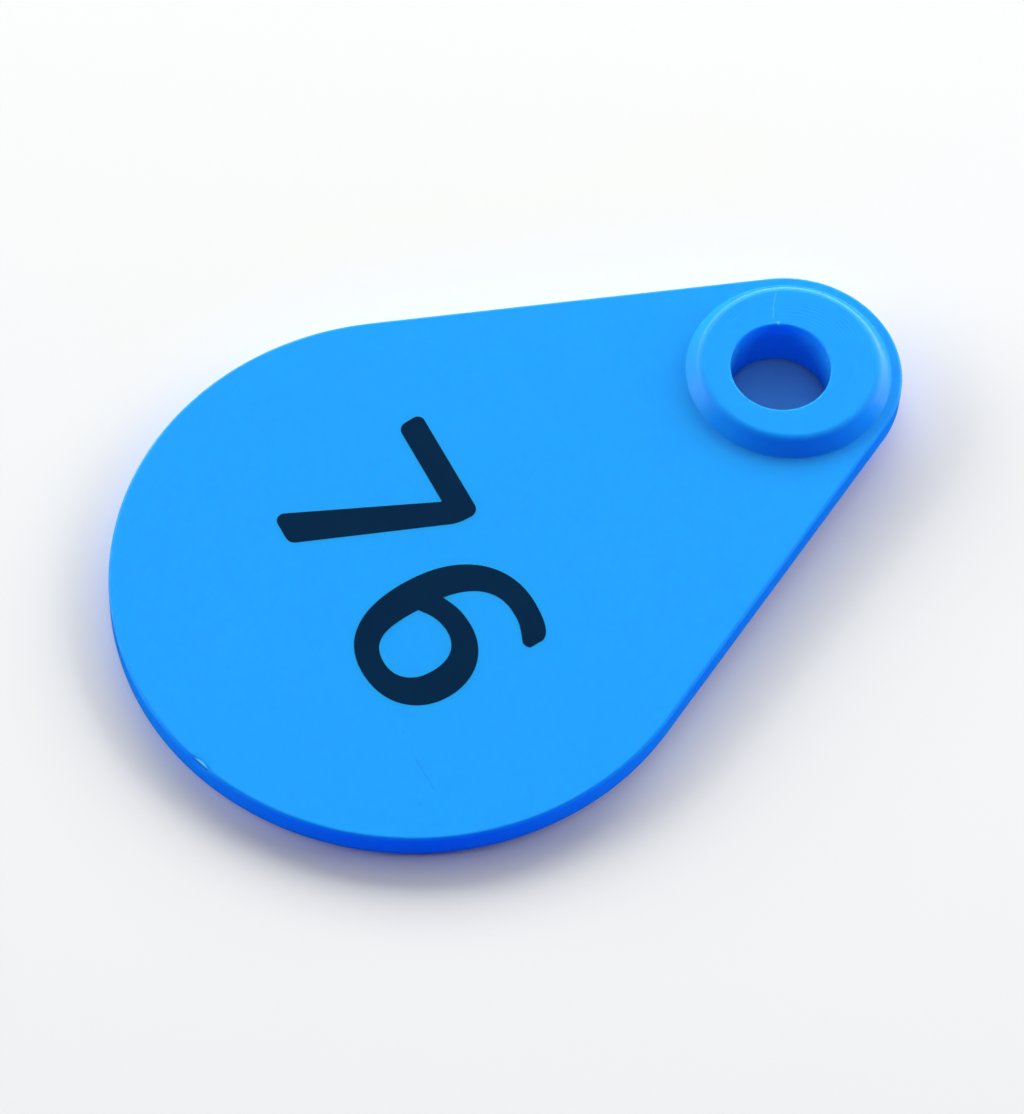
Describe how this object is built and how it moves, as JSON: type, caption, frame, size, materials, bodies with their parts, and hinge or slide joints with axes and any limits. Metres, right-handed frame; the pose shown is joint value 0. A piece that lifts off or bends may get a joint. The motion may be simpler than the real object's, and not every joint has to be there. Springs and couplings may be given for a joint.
{
  "type": "livestock collar number tag",
  "caption": "Flat teardrop tag of glossy plastic for an animal's collar: large round end for a number, small round end with a raised ring boss and a hole.",
  "frame": {"origin": "under the middle of the tag's length and width, level with the back boss's flat", "axes": "+X from the number end to the eyelet end, +Y across the tag, +Z out of the front face"},
  "size_m": [0.0868, 0.06, 0.0064],
  "materials": {
    "blue_plastic": "glossy moulded, lightly rippled"
  },
  "bodies": {
    "root": {"tag_body": "blue_plastic"}
  },
  "joints": []
}
